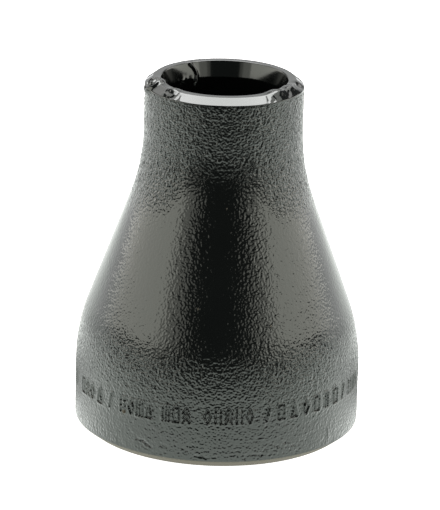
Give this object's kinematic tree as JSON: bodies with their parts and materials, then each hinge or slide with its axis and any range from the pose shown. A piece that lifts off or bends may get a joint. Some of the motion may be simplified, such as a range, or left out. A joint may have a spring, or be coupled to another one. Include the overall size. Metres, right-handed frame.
{
  "type": "concentric reducer",
  "caption": "Forged butt-weld concentric reducer: a straight skirt, an S-shaped shoulder and cone, and a narrower straight neck, bevelled for welding at both ends.",
  "frame": {"origin": "centre of the large end's root face", "axes": "+Z along the axis from the large end to the small end; the part is round, and -Y is the side where the five signs standing for the maker's mark are stamped"},
  "size_m": [0.0603, 0.0603, 0.076],
  "materials": {
    "varnished_steel": "gloss black rust-preventive varnish over shot-blasted carbon steel"
  },
  "bodies": {
    "root": {"reducer_body": "varnished_steel"}
  },
  "joints": []
}
